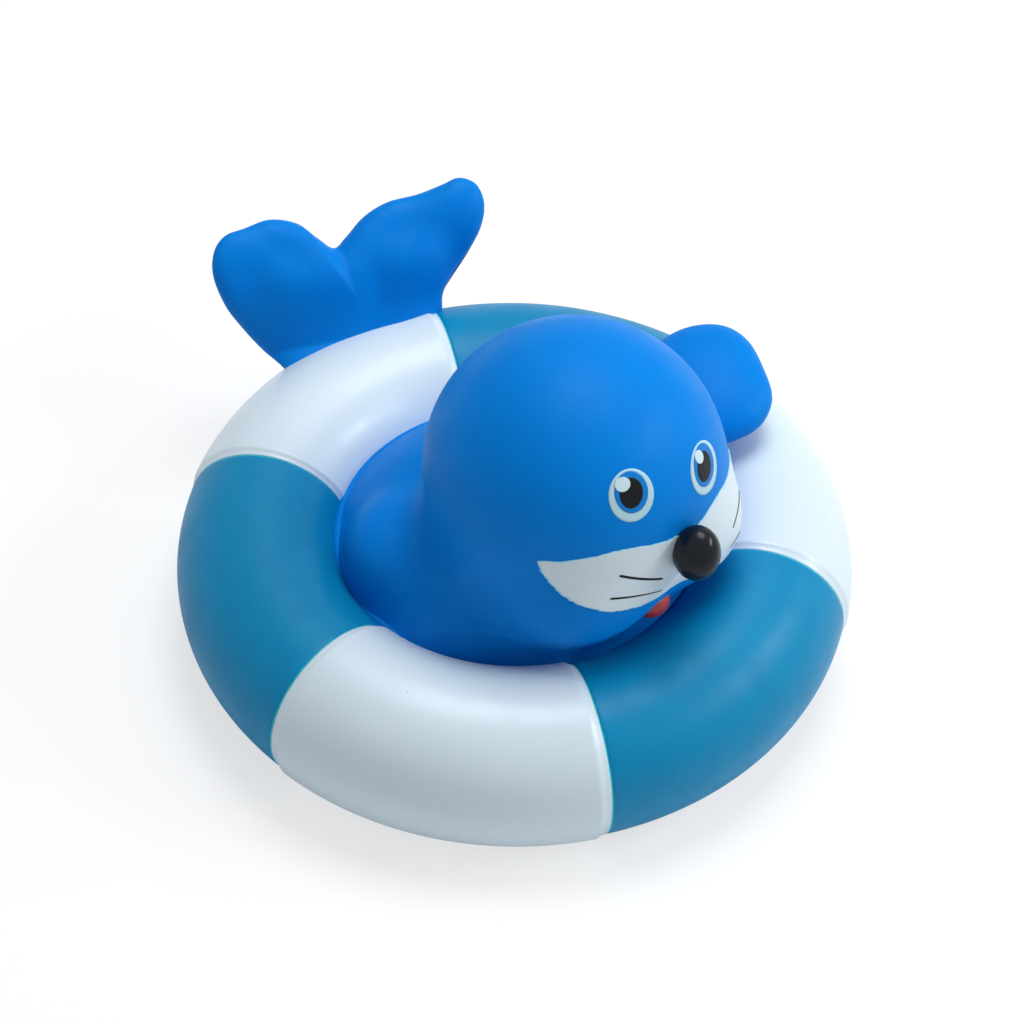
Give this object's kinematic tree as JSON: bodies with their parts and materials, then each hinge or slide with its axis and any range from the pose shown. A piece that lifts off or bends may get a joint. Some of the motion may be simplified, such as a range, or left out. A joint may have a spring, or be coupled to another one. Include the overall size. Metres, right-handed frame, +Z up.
{
  "type": "bath squirt toy",
  "caption": "Soft hollow vinyl bath toy: a seal lying in a striped swim ring, with a raised tail and a squirt hole in its belly.",
  "frame": {"origin": "on the floor under the middle of the toy's box", "axes": "+Z up; the seal looks along -Y and the tail stands at the +Y end; +X is the seal's own left, the side of the raised flipper"},
  "size_m": [0.0846, 0.097, 0.0524],
  "materials": {
    "blue_vinyl": "satin soft vinyl, blue through",
    "white_paint": "semi-gloss white spray over vinyl",
    "teal_paint": "satin pearl teal spray over vinyl",
    "black_paint": "gloss black",
    "red_paint": "satin red",
    "white_ink": "pad-printed white",
    "blue_ink": "pad-printed blue",
    "black_ink": "pad-printed black"
  },
  "bodies": {
    "root": {"white_bands": "white_paint", "teal_bands": "teal_paint", "body_shell": "blue_vinyl", "belly_pan": "blue_vinyl", "tail_flukes": "blue_vinyl", "raised_flipper": "blue_vinyl", "tucked_flipper": "blue_vinyl", "nose": "black_paint", "muzzle_coat": "white_paint", "tongue": "red_paint", "left_whiskers": "black_ink", "right_whiskers": "black_ink", "left_eye_white": "white_ink", "left_eye_iris": "blue_ink", "left_eye_pupil": "black_ink", "left_eye_glint": "white_ink", "right_eye_white": "white_ink", "right_eye_iris": "blue_ink", "right_eye_pupil": "black_ink", "right_eye_glint": "white_ink"}
  },
  "joints": []
}
